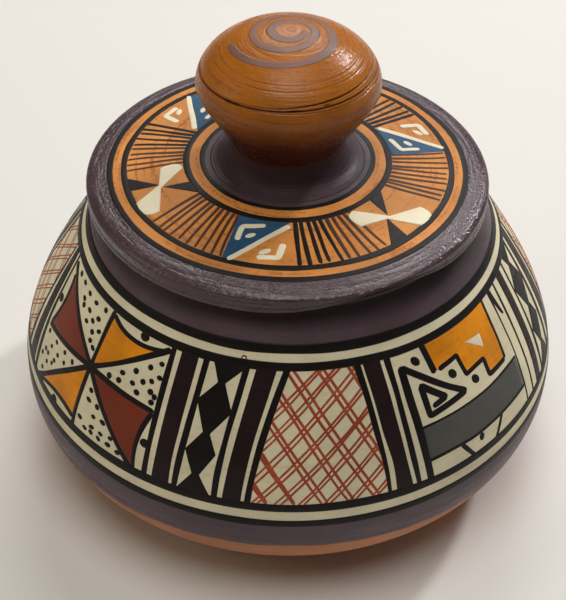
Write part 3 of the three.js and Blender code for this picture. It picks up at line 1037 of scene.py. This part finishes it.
FANS = [((14.5, 44.5), (15.0, 46.0), 0.2), ((-43.8, -15.1), (-41.6, -11.5), 0.05)]
FAN_STROKES, FAN_WIDTH, FAN_IN, FAN_OUT, STILL_BLACK = 10, 0.75, 19.5, (30.0, 30.6), 0.1
EDGE_CHIPS = [((19.7, 63.0), (1.1, 1.3)), ((22.5, 63.1), (0.7, 1.0)), ((26.2, 62.9), (1.5, 1.4))]
lid_paint = {}


def on_lid(finish, mark):
    lid_paint.setdefault(finish, []).append(mark)


def lid_plan(centre, spots):
    """Places (angle from the motif's middle, radius) as x and y seen from above."""
    angle, radius = np.asarray(spots, dtype=float).T
    return plan(angle + centre, radius)


def paint_split_wedge(centre):
    """A blue wedge and an orange one, parted by a cream diagonal, with an angled mark and a dab in each."""
    left = np.linspace(*lid_plan(centre, [(-11.0, FIELD_OUT), (-15.0, FIELD_IN)]), 16)
    right = np.linspace(*lid_plan(centre, [(-8.8, FIELD_OUT), (12.6, FIELD_IN)]), 16)
    on_lid("blue", layer(lid_ground, left, right, PATCH, ACROSS_PATCH))
    for width, path in WEDGE_STROKES:
        on_lid("pale_cream", brush_line(lid_ground, lid_plan(centre, path), width, OVER, step=FINE_STEP))
    for place, size, lean in WEDGE_DABS:
        on_lid("pale_cream", dab(lid_ground, lid_plan(centre, [place])[0], *size, OVER, centre + lean))


def paint_four_blades(centre):
    """Two black and two cream blades. The cream ones start past the middle and join in a narrow waist."""
    for finish, *spots in BLADES:
        tip, start, swell, end = lid_plan(centre, spots)
        on_lid(finish, blade(lid_ground, tip, bezier([start, swell, end], 14), LINE if finish == "black" else OVER))


def paint_fan(centre, inner, outer, load):
    """Strokes across the angles given. A loaded brush starts wide and black and runs dry."""
    for share in np.linspace(0, 1, FAN_STROKES):
        near = inner[0] + (inner[1] - inner[0]) * share + hand.normal(0, 0.25)
        far = outer[0] + (outer[1] - outer[0]) * share + hand.normal(0, 0.3)
        path = lid_plan(centre, np.linspace((near, FAN_IN), (far, hand.uniform(*FAN_OUT)), 8))
        wet = load * (1 - share)
        on_lid("black" if wet > STILL_BLACK else "fan_brown",
               brush_line(lid_ground, path, FAN_WIDTH + wet, PATCH, (0.9, 0.65 + wet)))


for ring in LID_RINGS:
    on_lid("black", lid_ring_line(*ring))
for wedge, blades in MOTIFS:
    paint_split_wedge(wedge)
    paint_four_blades(blades)
    for fan in FANS:
        paint_fan(wedge, *fan)
for place, size in EDGE_CHIPS:
    on_lid("bare_clay", dab(lid_side, place, *size, PATCH))
for finish, marks in lid_paint.items():
    add_piece("lid_paint_" + finish, "lid", marks, [finish])

# %% [markdown]
# ## The spiral on the knob
# One long stroke of a loaded brush while the knob turned. Its radius grows by turns, clockwise as seen from above.

# %% Spiral
SPIRAL_TURNS = [0, 0.25, 0.5, 0.75, 1.0, 1.25, 1.5, 1.75, 2.0, 2.25, 2.48]
SPIRAL_RADII = [2.9, 3.1, 3.3, 3.4, 4.4, 5.95, 6.5, 6.3, 7.9, 9.0, 10.6]
SPIRAL_STEPS, SOFTEN, SPIRAL_WIDTH, SPIRAL_LIFT = 240, 25, 1.6, 0.02
turns = np.linspace(0, SPIRAL_TURNS[-1], SPIRAL_STEPS)
spread = np.interp(turns, SPIRAL_TURNS, SPIRAL_RADII)
spread = np.convolve(np.pad(spread, SOFTEN // 2, mode="edge"), np.ones(SOFTEN) / SOFTEN, mode="valid")
spiral = spread[:, None] * pairs(np.cos(turns * 2 * math.pi), -np.sin(turns * 2 * math.pi))
add_piece("knob_spiral", "lid",
          [brush_line(dome_ground, spiral, SPIRAL_WIDTH, SPIRAL_LIFT, (1.0, 0.8), 0.09)], ["spiral_brown"])
